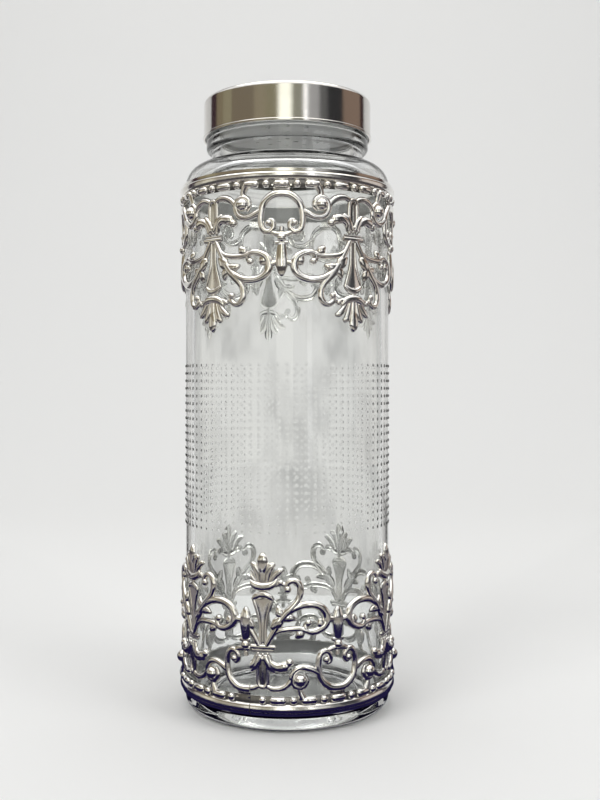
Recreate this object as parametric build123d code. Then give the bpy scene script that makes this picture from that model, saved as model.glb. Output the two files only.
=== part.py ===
from build123d import *

import math
import os

# A litre glass bottle with a wide neck, two openwork metal bands and a screw cap.
# The origin is the centre of the base, +Z is up and the photographed side faces -Y.

# Body of the bottle
glass_radius = 42.5
glass_wall = 3.6
floor_thickness = 6.5
base_ring_width = 2.8
base_ring_fillet = 0.8
heel_radius = 4.3
push_up_height = 3.4
push_up_run = 6.0
push_up_fillet = 4.0
inner_heel_radius = 7.0
shoulder_height = 216.0
shoulder_radius = 8.3
inner_shoulder_radius = 5.0

# Bearing nubs moulded under the base ring
nub_count = 40
nub_radius = 0.9
nub_height = 0.5

# Neck, transfer bead and finish
neck_radius = 31.7
neck_wall = 3.2
neck_fillet = 1.2
inner_neck_fillet = 3.0
bead_bottom_height = 230.4
bead_height = 5.0
bead_projection = 2.2
bead_fillet = 1.4
bead_root_fillet = 0.4
finish_radius = 31.4
rim_height = 247.3
rim_fillet = 0.7

# Right-hand thread, one start, on the finish and inside the cap
thread_pitch = 4.4
thread_turns = 1.25
thread_depth = 1.3
thread_root_width = 1.9
thread_crest_width = 0.9
thread_drop = 2.1
cap_thread_depth = 1.3
cap_thread_root_width = 1.5
cap_thread_crest_width = 0.6

# Screw cap: steel shell, plastic thread insert and sealing ring
cap_radius = 35.0
cap_sheet = 0.5
cap_top_fillet = 1.8
cap_rim_projection = 0.25
cap_rim_height = 1.1
cap_rest_gap = 0.3
liner_wall = 1.2
liner_top = 1.2
liner_lift = 0.6
seal_thickness = 1.3
seal_width = 6.0
seal_gap = 0.2
seal_edge_gap = 0.3

# Sprinkler insert pressed into the bore
flange_thickness = 0.9
flange_inset = 0.5
plug_depth = 9.5
plug_wall = 1.4
plug_floor = 1.4
plug_chamfer = 0.4
hole_diameter = 2.0
hole_rings = [(0, 1), (1, 6), (2, 12)]
hole_ring_pitch = 7.5

# Openwork strip of the bands, measured in its own height from the rail's edge
band_height = 63.0
band_gap = 0.25
base_strip_thickness = 0.75
base_strip_height = 8.0
openwork_thickness = 1.15
lower_band_start = 7.5
upper_band_start = 215.5
repeat_angle = 78.0
half_repeats = 9
seam_before = 6.3
seam_gap = 0.3
lower_seam_angle = -18.7
upper_seam_angle = 198.5
stroke_width = 1.75
smallest_corner = 0.05

# Rail and bead row of the strip
rail_height = 2.3
rail_projection = 1.1
lip_height = 1.5
lip_projection = 0.6
rail_offset = 2.1
lip_offset = 0.4
pearl_radius = 1.2
pearl_row_share = 6.1
capsule_length = 5.7
capsule_pairs_per_repeat = 5
adhesive_margin = 0.6

# One overrun for cuts and for pieces that grow out of a wall
overrun = 0.4

# The motif is drawn on half a repeat, from axis A (a palmette over a drop) to axis B
# (a spear over a ring). Tables of shares count thirtieths of that half repeat across,
# sixty-thirds of the strip's height up, and stroke widths in parts of stroke_width.
COLUMNS = 30
ROWS = 63

scroll_shares = {
    "tongue leaf": [(0.4, 22.4, 0.5), (1.3, 20.2, 0.9), (2.5, 18.3, 1.0), (3.9, 17.1, 0.6)],
    "under curl": [(2.4, 23.0, 0.8), (3.0, 20.9, 0.9), (4.5, 19.2, 1.3), (6.6, 18.6, 1.6),
                   (8.7, 19.2, 1.7), (10.2, 20.6, 1.0)],
    "tongue frame": [(0.9, 7.6, 0.9), (2.1, 8.9, 0.8), (2.6, 11.0, 0.7), (2.5, 14.0, 0.7),
                     (2.3, 17.2, 0.7), (1.5, 20.2, 0.8), (0.4, 22.4, 0.9)],
    "foot stroke": [(2.2, 12.2, 0.7), (3.4, 11.0, 0.9), (5.6, 10.5, 1.0), (7.8, 11.0, 1.0),
                    (9.7, 12.2, 0.9), (11.6, 14.0, 0.8)],
    "frame step": [(2.0, 15.4, 1.0), (3.4, 16.0, 1.2), (4.4, 17.0, 0.8)],
    "rail spiral": [(21.2, 15.8, 1.0), (18.9, 17.5, 1.1), (16.3, 18.4, 1.0), (13.8, 18.1, 1.0),
                    (11.9, 16.7, 1.0), (11.3, 14.6, 1.0), (11.8, 12.5, 1.0), (13.4, 11.2, 1.0),
                    (15.3, 11.2, 1.0), (16.8, 12.5, 0.9), (17.0, 14.4, 0.8), (15.9, 15.8, 0.7)],
    "spiral foot": [(14.4, 11.0, 0.8), (14.6, 9.4, 0.9), (15.6, 7.6, 1.2)],
    "ring": [(30.0, 10.9, 1.3), (26.8, 11.2, 1.3), (24.0, 12.8, 1.2), (22.1, 15.2, 1.1),
             (21.2, 18.0, 1.0), (21.0, 20.8, 1.0), (21.7, 23.3, 1.0), (23.3, 24.5, 1.0),
             (25.0, 23.6, 0.9), (25.3, 21.8, 0.9), (24.3, 20.5, 0.7)],
    "ring neck": [(30.0, 7.6, 5.0), (30.0, 8.8, 3.7), (30.0, 10.9, 4.4)],
    "ring leaf": [(20.6, 22.6, 0.6), (21.0, 24.8, 0.8), (22.6, 26.1, 0.8), (25.0, 26.0, 0.6)],
    "ring bridge": [(23.8, 24.5, 0.8), (26.6, 25.4, 0.9), (30.4, 25.6, 0.9)],
    "ring drop": [(30.0, 19.8, 0.5), (30.0, 21.0, 1.1), (30.0, 22.4, 0.6), (30.0, 24.4, 0.7)],
    "foot knob": [(30.0, 24.0, 0.8), (30.0, 26.1, 1.7), (30.0, 29.2, 1.5)],
    "spear foot": [(30.4, 29.2, 0.9), (26.6, 29.3, 0.8)],
    "spear": [(30.0, 28.4, 2.0), (30.0, 32.0, 2.2), (30.0, 37.0, 2.7), (30.0, 40.0, 2.5),
              (30.0, 41.6, 1.2)],
    "spear link": [(30.0, 35.2, 0.9), (27.2, 35.4, 0.9), (24.8, 35.8, 0.8)],
    "scroll arch": [(2.2, 28.0, 0.9), (3.7, 30.7, 0.9), (6.0, 32.5, 0.9), (9.0, 33.2, 0.9),
                        (12.2, 33.0, 0.9), (16.4, 31.6, 0.9)],
    "arch thorn": [(15.6, 32.0, 0.9), (14.4, 30.6, 1.2), (14.2, 28.6, 0.5)],
    "leg": [(1.3, 26.4, 0.8), (2.7, 30.4, 0.9), (4.2, 33.2, 1.0), (5.5, 35.8, 1.1),
            (7.4, 38.2, 1.2), (9.8, 40.3, 1.3), (12.4, 42.6, 1.2), (14.0, 44.8, 1.0),
            (14.7, 47.6, 1.1), (14.1, 50.1, 1.0), (12.4, 51.4, 0.9), (10.4, 51.1, 0.9),
            (9.2, 49.6, 0.9), (9.3, 47.8, 0.8)],
    "leg thorn": [(7.2, 37.8, 0.9), (6.0, 40.0, 1.0), (5.2, 42.4, 0.4)],
    "leg spur": [(8.2, 37.4, 0.8), (10.4, 38.0, 0.9), (12.6, 37.4, 0.4)],
    "side scroll": [(9.4, 40.0, 0.9), (12.0, 42.1, 1.0), (15.0, 42.8, 1.0), (18.4, 43.0, 1.0),
                    (21.6, 42.3, 1.0), (24.0, 40.3, 1.1), (25.2, 37.5, 1.1), (24.7, 34.9, 1.1),
                    (22.6, 33.0, 1.1), (19.6, 32.0, 1.0), (16.9, 32.4, 1.0), (16.4, 34.2, 0.9),
                    (17.9, 36.4, 0.6)],
    "side scroll tip": [(22.6, 33.2, 1.0), (22.4, 35.4, 1.2), (22.2, 37.4, 0.4)],
    "palmette cup": [(-0.6, 49.1, 1.2), (2.4, 49.4, 1.2), (4.3, 50.6, 1.0), (5.6, 52.2, 0.6)],
    "palmette bud": [(0.0, 49.2, 1.6), (0.0, 54.4, 1.5), (0.0, 57.2, 2.2), (0.0, 59.6, 1.9),
                     (0.0, 62.3, 0.5)],
    "first petal": [(0.9, 50.6, 0.9), (1.5, 54.4, 1.2), (2.7, 57.0, 1.3), (4.5, 58.3, 0.6)],
    "second petal": [(2.2, 50.4, 0.9), (3.8, 53.4, 1.3), (5.5, 55.2, 1.4), (7.7, 56.4, 0.5)],
    "third petal": [(3.4, 50.2, 0.9), (5.2, 52.0, 1.2), (6.6, 53.2, 1.1), (7.9, 53.8, 0.5)],
    "palmette bridge": [(5.0, 51.6, 0.7), (6.8, 50.9, 1.3), (9.4, 50.2, 0.8)],
    "drop neck": [(0.0, 44.2, 1.3), (0.0, 47.6, 1.2), (0.0, 50.4, 1.3)],
    "collar": [(-0.6, 25.7, 1.6), (2.4, 25.7, 1.6), (4.9, 25.4, 1.2)],
    "collar beads": [(0.0, 21.4, 1.0), (0.0, 23.6, 1.3), (0.0, 25.8, 1.0)],
    "collar side bead": [(2.2, 21.6, 0.8), (2.4, 23.6, 1.1), (2.4, 25.8, 0.8)],
    "tongue": [(0.0, 7.6, 0.9), (0.0, 10.4, 1.8), (0.0, 13.0, 1.8), (0.0, 17.8, 1.7),
               (0.0, 20.4, 0.9), (0.0, 22.4, 0.9)],
    "drop": [(0.0, 26.4, 1.4), (0.0, 31.0, 1.5), (0.0, 36.0, 2.0), (0.0, 40.0, 2.9),
             (0.0, 43.6, 4.1), (0.0, 45.0, 3.2)],
}


def strip_inner_radius():
    return glass_radius + band_gap


def strip_radius():
    return strip_inner_radius() + openwork_thickness / 2


def cap_bottom():
    return bead_bottom_height + bead_height + cap_rest_gap


def seal_bottom():
    return rim_height + flange_thickness + seal_gap


def liner_ceiling():
    return seal_bottom() + seal_thickness + seal_gap


def cap_top():
    return liner_ceiling() + liner_top + cap_sheet


def bore_radius():
    return neck_radius - neck_wall


def liner_radius():
    return cap_radius - cap_sheet


def turned(outline):
    # A closed outline of radius and height, turned round the bottle's axis
    return revolve(Plane.XZ * make_face(outline), Axis.Z)


def thread_ridge(radius, depth, root_width, crest_width, start_height, root_side):
    # A trapezoid swept along a right-hand helix; root_side is -1 on an outer wall, 1 on an inner one
    helix = Helix(thread_pitch, thread_pitch * thread_turns, radius)
    root = root_side * overrun
    crest = -root_side * depth
    section = Polyline((root, root_width / 2), (crest, crest_width / 2),
                       (crest, -crest_width / 2), (root, -root_width / 2), close=True)
    start = Plane(helix @ 0, x_dir=(1, 0, 0), z_dir=helix % 0)
    ridge = sweep(start * make_face(section), path=helix, is_frenet=True)
    return Pos(0, 0, start_height) * ridge


def thread_start():
    return rim_height - thread_drop - thread_turns * thread_pitch


def bearing_nubs():
    ring_radius = glass_radius - heel_radius - base_ring_width / 2
    nub = Cylinder(nub_radius, nub_height + overrun, align=(Align.CENTER, Align.CENTER, Align.MIN))
    return PolarLocations(ring_radius, nub_count) * nub


def glass_bottle():
    base = nub_height
    ring_inner = glass_radius - heel_radius - base_ring_width
    shoulder_top = shoulder_height + shoulder_radius
    bead_top = bead_bottom_height + bead_height
    bead_radius = neck_radius + bead_projection
    inner_radius = glass_radius - glass_wall
    inner_top = shoulder_top - glass_wall
    corners = [
        ((ring_inner - push_up_run, base + push_up_height), push_up_fillet),
        ((ring_inner, base), base_ring_fillet),
        ((glass_radius, base), heel_radius),
        ((glass_radius, shoulder_top), shoulder_radius),
        ((neck_radius, shoulder_top), neck_fillet),
        ((neck_radius, bead_bottom_height), bead_root_fillet),
        ((bead_radius, bead_bottom_height), bead_fillet),
        ((bead_radius, bead_top), bead_fillet),
        ((finish_radius, bead_top), bead_root_fillet),
        ((finish_radius, rim_height), rim_fillet),
        ((bore_radius(), rim_height), rim_fillet),
        ((bore_radius(), inner_top), inner_neck_fillet),
        ((inner_radius, inner_top), inner_shoulder_radius),
        ((inner_radius, base + floor_thickness), inner_heel_radius),
    ]
    points = [(0, base + push_up_height)] + [corner for corner, radius in corners]
    points.append((0, base + floor_thickness))
    wall = FilletPolyline(*points, radius=[radius for corner, radius in corners])
    body = turned(wall + Line(points[-1], points[0]))
    ridge = thread_ridge(finish_radius, thread_depth, thread_root_width, thread_crest_width,
                         thread_start(), -1)
    return body + ridge + bearing_nubs()


def sprinkler_insert():
    flange_radius = finish_radius - flange_inset
    flange_top = rim_height + flange_thickness
    plug_bottom = rim_height - plug_depth
    outer = bore_radius()
    inner = outer - plug_wall
    floor_top = plug_bottom + plug_floor
    outline = Polyline(
        (0, plug_bottom), (outer - plug_chamfer, plug_bottom), (outer, plug_bottom + plug_chamfer),
        (outer, rim_height), (flange_radius, rim_height), (flange_radius, flange_top),
        (inner, flange_top), (inner, floor_top), (0, floor_top), close=True)
    insert = turned(outline)
    hole = Cylinder(hole_diameter / 2, plug_floor + 2 * overrun)
    for ring, count in hole_rings:
        drilled = PolarLocations(ring * hole_ring_pitch, count)
        insert = insert - Pos(0, 0, plug_bottom + plug_floor / 2) * drilled * hole
    return insert


def cap_shell():
    bottom = cap_bottom()
    top = cap_top()
    rim_top = bottom + cap_rim_height
    rim_radius = cap_radius + cap_rim_projection
    inner = liner_radius()
    skirt = Line((inner, bottom), (cap_radius, bottom))
    bead = ThreePointArc((cap_radius, bottom), (rim_radius, bottom + cap_rim_height / 2),
                         (cap_radius, rim_top))
    outside = FilletPolyline((cap_radius, rim_top), (cap_radius, top), (0, top), radius=cap_top_fillet)
    inside = FilletPolyline((0, top - cap_sheet), (inner, top - cap_sheet), (inner, bottom),
                            radius=cap_top_fillet - cap_sheet)
    return turned(skirt + bead + outside + Line((0, top), (0, top - cap_sheet)) + inside)


def cap_thread_insert():
    bottom = cap_bottom() + liner_lift
    top = cap_top() - cap_sheet
    outer = liner_radius()
    inner = outer - liner_wall
    ceiling = liner_ceiling()
    outside = FilletPolyline((inner, bottom), (outer, bottom), (outer, top), (0, top),
                             radius=[smallest_corner, cap_top_fillet - cap_sheet])
    inside = Polyline((0, top), (0, ceiling), (inner, ceiling), (inner, bottom))
    cup = turned(outside + inside)
    ridge = thread_ridge(inner, cap_thread_depth, cap_thread_root_width, cap_thread_crest_width,
                         thread_start() - thread_pitch / 2, 1)
    return cup + ridge


def cap_seal_ring():
    outer = liner_radius() - liner_wall - seal_edge_gap
    outline = Pos(outer - seal_width / 2, seal_bottom() + seal_thickness / 2)
    return revolve(Plane.XZ * outline * Rectangle(seal_width, seal_thickness), Axis.Z)


def ribbon_outline(points):
    # Both edges of a stroke, square across its ends
    left_edge = []
    right_edge = []
    for index, (across, up, width) in enumerate(points):
        before = points[max(index - 1, 0)]
        after = points[min(index + 1, len(points) - 1)]
        run = math.hypot(after[0] - before[0], after[1] - before[1])
        normal_across = (before[1] - after[1]) / run * width / 2
        normal_up = (after[0] - before[0]) / run * width / 2
        left_edge.append((across + normal_across, up + normal_up))
        right_edge.append((across - normal_across, up - normal_up))
    return left_edge + list(reversed(right_edge))


def on_chord(place):
    # Length round the bottle becomes a sideways place, seen square to the half repeat's middle
    angle = place[0] / strip_radius() - math.radians(repeat_angle / 4)
    return (strip_radius() * math.sin(angle), place[1])


def stroke_face(shares):
    column = math.radians(repeat_angle / 2) * strip_radius() / COLUMNS
    row = band_height / ROWS
    points = [(across * column, up * row, width * stroke_width) for across, up, width in shares]
    outline = [on_chord(place) for place in ribbon_outline(points)]
    return make_face(Polyline(*outline, close=True)).face()


def tube_sector(section, start_angle, end_angle):
    # A section of radius and height, turned from one angle to another; 0 is the photographed side
    upright = Plane.XZ * section
    return revolve(upright.rotate(Axis.Z, start_angle - 90), Axis.Z, end_angle - start_angle)


def openwork_half_repeat(start_angle, end_angle):
    # The strokes between two angles of half a repeat, whose axis A is at angle 0
    middle = repeat_angle / 4
    faces = [stroke_face(shares) for shares in scroll_shares.values()]
    drawing = faces[0].fuse(*faces[1:])
    upright = Plane.XZ.offset(strip_radius() / 2)
    prisms = [extrude(upright * face, strip_radius()) for face in drawing.faces()]
    wall = Pos(strip_radius(), band_height / 2) * Rectangle(openwork_thickness, band_height)
    sector = tube_sector(wall, start_angle - middle, end_angle - middle)
    return [(sector & prism).rotate(Axis.Z, middle) for prism in prisms]


def openwork():
    # Whole half repeats round the bottle, and the two cut ones at the seam
    half_angle = repeat_angle / 2
    gap_angle = math.degrees(seam_gap / 2 / strip_radius())
    seam_after = 360 - half_repeats * half_angle - seam_before
    whole = openwork_half_repeat(0, half_angle)
    mirrored = [piece.mirror(Plane.YZ) for piece in whole]
    pieces = []
    for index in range(half_repeats):
        if index % 2 == 0:
            pieces += [piece.rotate(Axis.Z, index * half_angle) for piece in whole]
        else:
            pieces += [piece.rotate(Axis.Z, (index + 1) * half_angle) for piece in mirrored]
    first = openwork_half_repeat(0, seam_before - gap_angle)
    last = openwork_half_repeat(half_angle - seam_after + gap_angle, half_angle)
    pieces += [piece.mirror(Plane.YZ) for piece in first]
    pieces += [piece.mirror(Plane.YZ).rotate(Axis.Z, (half_repeats + 1) * half_angle) for piece in last]
    return pieces


def rail():
    # The strip that carries the openwork, with a half-round rail and a thin lip
    inner = strip_inner_radius()
    face = inner + base_strip_thickness
    rail_top = rail_offset + rail_height
    lip_top = lip_offset + lip_height
    back = Polyline((face, 0), (inner, 0), (inner, base_strip_height), (face, base_strip_height),
                    (face, rail_top))
    round_rail = ThreePointArc((face, rail_top), (face + rail_projection, rail_offset + rail_height / 2),
                               (face, rail_offset))
    valley = Line((face, rail_offset), (face, lip_top))
    lip = ThreePointArc((face, lip_top), (face + lip_projection, lip_offset + lip_height / 2),
                        (face, lip_offset))
    edge = Line((face, lip_offset), (face, 0))
    gap_angle = math.degrees(seam_gap / 2 / strip_radius())
    section = make_face(back + round_rail + valley + lip + edge)
    return tube_sector(section, gap_angle - seam_before, 360 - seam_before - gap_angle)


def pearl():
    # Half a ball, flat side on the strip
    return Sphere(pearl_radius, arc_size1=0, align=(Align.CENTER, Align.CENTER, Align.MIN))


def capsule():
    # Half a long bead with round ends, flat side on the strip
    straight = capsule_length / 2 - pearl_radius
    half_end = capsule_length / 2
    outline = Line((-half_end, 0), (half_end, 0))
    outline += JernArc((half_end, 0), (0, 1), pearl_radius, 90)
    outline += Line((straight, pearl_radius), (-straight, pearl_radius))
    outline += JernArc((-straight, pearl_radius), (-1, 0), pearl_radius, 90)
    return revolve(make_face(outline), Axis.X, 180)


def pearl_row():
    # Round pearls and capsules by turns, a pearl on each axis A and a capsule on each axis B
    item_angle = repeat_angle / capsule_pairs_per_repeat / 2
    seat_radius = strip_inner_radius() + pearl_radius / 4
    reach = math.degrees(capsule_length / 2 / seat_radius)
    count = int((360 - seam_before - reach) / item_angle) + 1
    shapes = [pearl(), capsule()]
    seat = Plane((0, -seat_radius, pearl_row_share * band_height / ROWS), x_dir=(1, 0, 0), z_dir=(0, -1, 0))
    return [(seat * shapes[index % 2]).rotate(Axis.Z, index * item_angle) for index in range(count)]


def metal_strip():
    # Its seam's right-hand edge is seam_before to the left of angle 0, and its rail is at height 0
    return rail().fuse(*pearl_row()).fuse(*openwork())


def adhesive_strip():
    wall = Pos(glass_radius + band_gap / 2, base_strip_height / 2) * Rectangle(
        band_gap, base_strip_height - 2 * adhesive_margin)
    return revolve(Plane.XZ * wall, Axis.Z)


def main():
    strip = metal_strip()
    lower = Pos(0, 0, lower_band_start)
    upper = Pos(0, 0, upper_band_start) * Rot(X=180)
    nodes = {
        "glass_bottle": glass_bottle(),
        "lower_band": lower * strip.rotate(Axis.Z, lower_seam_angle + seam_before),
        "upper_band": upper * strip.rotate(Axis.Z, 180 - upper_seam_angle + seam_before),
        "lower_band_adhesive": lower * adhesive_strip(),
        "upper_band_adhesive": upper * adhesive_strip(),
        "sprinkler_insert": sprinkler_insert(),
        "cap_seal_ring": cap_seal_ring(),
        "cap_thread_insert": cap_thread_insert(),
        "cap_shell": cap_shell(),
    }
    os.makedirs("parts", exist_ok=True)
    for name, shape in nodes.items():
        export_step(shape, f"parts/{name}.step", write_pcurves=False)


main()
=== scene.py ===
"""A clear glass bottle with two openwork silver bands, a sprinkler insert and a steel screw cap.

The file is laid out like an add-on: property groups hold the sizes and colours, one operator
makes each group of pieces, and a sidebar panel lists them. Run as a script, it builds the whole
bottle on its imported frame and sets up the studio. Lengths are in metres, +Z is up and the
photographed side faces -Y.
"""

import math

import bmesh
import bpy
from bpy.props import (
    FloatProperty,
    FloatVectorProperty,
    IntProperty,
    PointerProperty,
)
from bpy.types import Operator, Panel, PropertyGroup
from mathutils import Matrix, Vector


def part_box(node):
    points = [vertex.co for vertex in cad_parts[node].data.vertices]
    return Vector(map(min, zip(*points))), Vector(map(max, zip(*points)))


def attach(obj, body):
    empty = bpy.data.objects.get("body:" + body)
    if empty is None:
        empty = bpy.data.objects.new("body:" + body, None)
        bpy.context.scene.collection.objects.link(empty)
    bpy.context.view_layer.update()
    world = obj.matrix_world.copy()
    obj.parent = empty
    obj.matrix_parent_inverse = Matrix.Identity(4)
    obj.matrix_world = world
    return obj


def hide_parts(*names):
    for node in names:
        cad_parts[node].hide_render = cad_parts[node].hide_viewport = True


bl_info = {
    "name": "Rosewater Sprinkler",
    "version": (1, 0, 0),
    "blender": (4, 5, 0),
    "location": "View3D > Sidebar > Rosewater",
    "description": "Builds a banded glass bottle with a sprinkler insert and a screw cap",
    "category": "Add Mesh",
}

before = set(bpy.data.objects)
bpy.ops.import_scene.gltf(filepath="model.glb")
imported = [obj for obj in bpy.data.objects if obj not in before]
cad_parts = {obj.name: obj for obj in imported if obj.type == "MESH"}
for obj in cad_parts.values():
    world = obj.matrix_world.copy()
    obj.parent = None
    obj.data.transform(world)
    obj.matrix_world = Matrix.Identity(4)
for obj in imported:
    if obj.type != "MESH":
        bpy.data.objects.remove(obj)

BOTTLE_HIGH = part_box("glass_bottle")[1]
CAP_LOW, CAP_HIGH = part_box("cap_shell")
LOWER_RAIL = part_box("lower_band")[0].z
UPPER_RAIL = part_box("upper_band")[1].z


# --- Sizes and colours ---


class BottleSizes(PropertyGroup):
    """Sizes of the glass bottle."""

    radius: FloatProperty(
        name="Body radius", description="Outside radius of the straight body",
        default=BOTTLE_HIGH.x, unit="LENGTH")
    height: FloatProperty(
        name="Rim height", description="Height of the glass rim above the table",
        default=BOTTLE_HIGH.z, unit="LENGTH")
    wall: FloatProperty(
        name="Wall", description="Thickness of the body wall", default=0.0036, unit="LENGTH")
    floor: FloatProperty(
        name="Floor", description="Thickness of the glass floor", default=0.0065, unit="LENGTH")
    neck_radius: FloatProperty(
        name="Neck radius", description="Outside radius of the neck", default=0.0317,
        unit="LENGTH")
    neck_wall: FloatProperty(
        name="Neck wall", description="Thickness of the neck wall", default=0.0032, unit="LENGTH")
    dot_columns: IntProperty(
        name="Dot columns", description="Embossed dots counted round the body", default=74)
    dot_rows: IntProperty(
        name="Dot rows", description="Embossed dots counted up the body", default=22)
    dot_low: FloatProperty(
        name="Lowest dots", description="Height at which the embossed field starts",
        default=0.075, unit="LENGTH")
    dot_high: FloatProperty(
        name="Highest dots", description="Height at which the embossed field ends",
        default=0.1425, unit="LENGTH")
    dot_radius: FloatProperty(
        name="Dot radius", description="Radius of one dot at its foot", default=0.0007,
        unit="LENGTH")
    dot_height: FloatProperty(
        name="Dot height", description="How far a dot stands out", default=0.00028, unit="LENGTH")
    nub_count: IntProperty(
        name="Bearing nubs", description="Nubs moulded under the base ring", default=40)


class BandSizes(PropertyGroup):
    """Sizes that both openwork bands share."""

    height: FloatProperty(
        name="Height", description="Height of the strip from the rail's edge to the palmette tips",
        default=0.063, unit="LENGTH")
    gap: FloatProperty(
        name="Gap", description="Space between the glass and the strip", default=0.00025,
        unit="LENGTH")
    drawn_at: FloatProperty(
        name="Drawing depth", description="How far outside the strip's back lengths are true",
        default=0.000575, unit="LENGTH")
    repeat: FloatProperty(
        name="Repeat", description="Angle that one whole motif takes", default=math.radians(78),
        subtype="ANGLE")
    seam_before: FloatProperty(
        name="Seam place", description="Angle from the seam to the first motif's axis",
        default=math.radians(6.3), subtype="ANGLE")
    seam_gap: FloatProperty(
        name="Seam gap", description="Space between the strip's butted ends", default=0.0003,
        unit="LENGTH")
    stroke: FloatProperty(
        name="Stroke width", description="Width of a stroke of share one", default=0.0023,
        unit="LENGTH")
    relief: FloatProperty(
        name="Relief", description="Height that the scrolls level off at", default=0.0036,
        unit="LENGTH")
    leaf_relief: FloatProperty(
        name="Leaf relief", description="Height that the leaves and petals level off at",
        default=0.0022, unit="LENGTH")
    facet_relief: FloatProperty(
        name="Facet relief", description="Height that the faceted drops and spears level off at",
        default=0.003, unit="LENGTH")
    prism_relief: FloatProperty(
        name="Prism relief", description="Height that the palmettes' drops level off at",
        default=0.001, unit="LENGTH")
    plate_relief: FloatProperty(
        name="Plate relief", description="Height that the sunken plates level off at",
        default=0.00066, unit="LENGTH")
    lower_turn: FloatProperty(
        name="Lower turn", description="Angle of the lower band's first motif from the front",
        default=math.radians(-12.4), subtype="ANGLE")
    upper_turn: FloatProperty(
        name="Upper turn", description="The upper band's angle, before it is turned over",
        default=math.radians(-12.2), subtype="ANGLE")
    pearl: FloatProperty(
        name="Pearl radius", description="Radius of the beads on the strip", default=0.0016,
        unit="LENGTH")
    capsule: FloatProperty(
        name="Capsule length", description="Length of the long beads", default=0.0066,
        unit="LENGTH")


class CapSizes(PropertyGroup):
    """Sizes of the screw cap's steel shell."""

    radius: FloatProperty(
        name="Radius", description="Radius of the straight skirt", default=0.035, unit="LENGTH")
    sheet: FloatProperty(
        name="Sheet", description="Thickness of the steel sheet", default=0.0005, unit="LENGTH")
    rim_height: FloatProperty(
        name="Rim height", description="Height of the rolled lower rim", default=0.0011,
        unit="LENGTH")


class FinishColours(PropertyGroup):
    """Colours of the finishes."""

    silver: FloatVectorProperty(
        name="Silver", description="Polished tops of the band's strokes",
        default=(0.9, 0.885, 0.86), subtype="COLOR")
    # Painted shade: a dark colour put low in the relief, where shade falls between and under the
    # strokes
    silver_painted_shade: FloatVectorProperty(
        name="Silver hollows", description="Toned metal low in the relief",
        default=(0.03, 0.027, 0.025), subtype="COLOR")
    steel: FloatVectorProperty(
        name="Steel", description="Brushed cap", default=(0.74, 0.72, 0.69), subtype="COLOR")
    glass: FloatVectorProperty(
        name="Glass", description="Tint of the clear glass", default=(0.965, 0.975, 0.97),
        subtype="COLOR")
    plastic: FloatVectorProperty(
        name="Plastic", description="Insert and thread liner", default=(0.66, 0.66, 0.655),
        subtype="COLOR")
    rubber: FloatVectorProperty(
        name="Seal", description="Sealing ring", default=(0.6, 0.6, 0.58), subtype="COLOR")
    floor: FloatVectorProperty(
        name="Floor", description="Floor and backdrop", default=(0.84, 0.84, 0.83),
        subtype="COLOR")


class StudioSizes(PropertyGroup):
    """Where the camera stands."""

    distance: FloatProperty(
        name="Distance", description="Distance of the camera from the bottle's axis",
        default=0.422, unit="LENGTH")
    eye_level: FloatProperty(
        name="Eye level", description="Height of the camera", default=0.1335, unit="LENGTH")
    lens: FloatProperty(
        name="Lens", description="Focal length on a 36 mm sensor", default=45.0, unit="CAMERA")


# --- Shader helpers ---


class Signal:
    """A shader socket that takes part in Python expressions by adding Math nodes."""

    def __init__(self, tree, socket):
        self.tree = tree
        self.socket = socket

    def __add__(self, other):
        return self.tree.math("ADD", self, other)

    def __sub__(self, other):
        return self.tree.math("SUBTRACT", self, other)

    def __rsub__(self, other):
        return self.tree.math("SUBTRACT", other, self)

    def __mul__(self, other):
        return self.tree.math("MULTIPLY", self, other)


class Wiring:
    """A node tree that is wired up one node at a time."""

    def __init__(self, tree):
        self.tree = tree
        tree.nodes.clear()

    def node(self, kind, sockets=None, output=0, **settings):
        """Adds a node, sets its settings, then fills or links its sockets."""
        node = self.tree.nodes.new(f"ShaderNode{kind}")
        for name, value in settings.items():
            setattr(node, name, value)
        for name, value in (sockets or {}).items():
            if isinstance(value, Signal):
                self.tree.links.new(value.socket, node.inputs[name])
            else:
                node.inputs[name].default_value = value
        return Signal(self, node.outputs[output]) if node.outputs else None

    def math(self, operation, *values):
        return self.node("Math", dict(enumerate(values)), operation=operation)

    def step(self, value, low, high, to_low=0.0, to_high=1.0):
        """Eases from one value to another as the signal goes from low to high."""
        return self.node(
            "MapRange", {
                "Value": value, "From Min": low, "From Max": high, "To Min": to_low,
                "To Max": to_high}, interpolation_type="SMOOTHSTEP")

    def mix(self, factor, first, second):
        """Mixes two colours."""
        return self.node("Mix", {0: factor, 6: first, 7: second}, output=2, data_type="RGBA")

    def from_axis(self, across, depth):
        """Distance from the bottle's axis."""
        return self.math("SQRT", across * across + depth * depth)

    def place(self):
        """Object coordinates, and their three parts."""
        vector = self.node("TexCoord", output=3)
        parts = self.node("SeparateXYZ", {0: vector})
        outputs = parts.socket.node.outputs
        return vector, [Signal(self, output) for output in outputs]

    def noise(self, vector, scale, detail=2.0, roughness=0.5, stretch=(1.0, 1.0, 1.0)):
        """Noise on stretched coordinates, as a number from 0 to 1."""
        mapped = self.node("Mapping", {0: vector, 3: stretch})
        return self.node("TexNoise", {
            "Vector": mapped, "Scale": scale, "Detail": detail, "Roughness": roughness})

    def bump(self, height, distance, strength=1.0):
        return self.node(
            "Bump", {"Height": height, "Distance": distance, "Strength": strength})

    def finish(self, **sockets):
        """A Principled shader on the material's output; an underscore stands for a space."""
        named = {name.replace("_", " "): value for name, value in sockets.items()}
        self.node("OutputMaterial", {0: self.node("BsdfPrincipled", named)})


def new_material(name):
    material = bpy.data.materials.new(name)
    material.use_nodes = True
    return material, Wiring(material.node_tree)


def opaque(colour, shade=1.0):
    return (*(share * shade for share in colour), 1.0)


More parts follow.
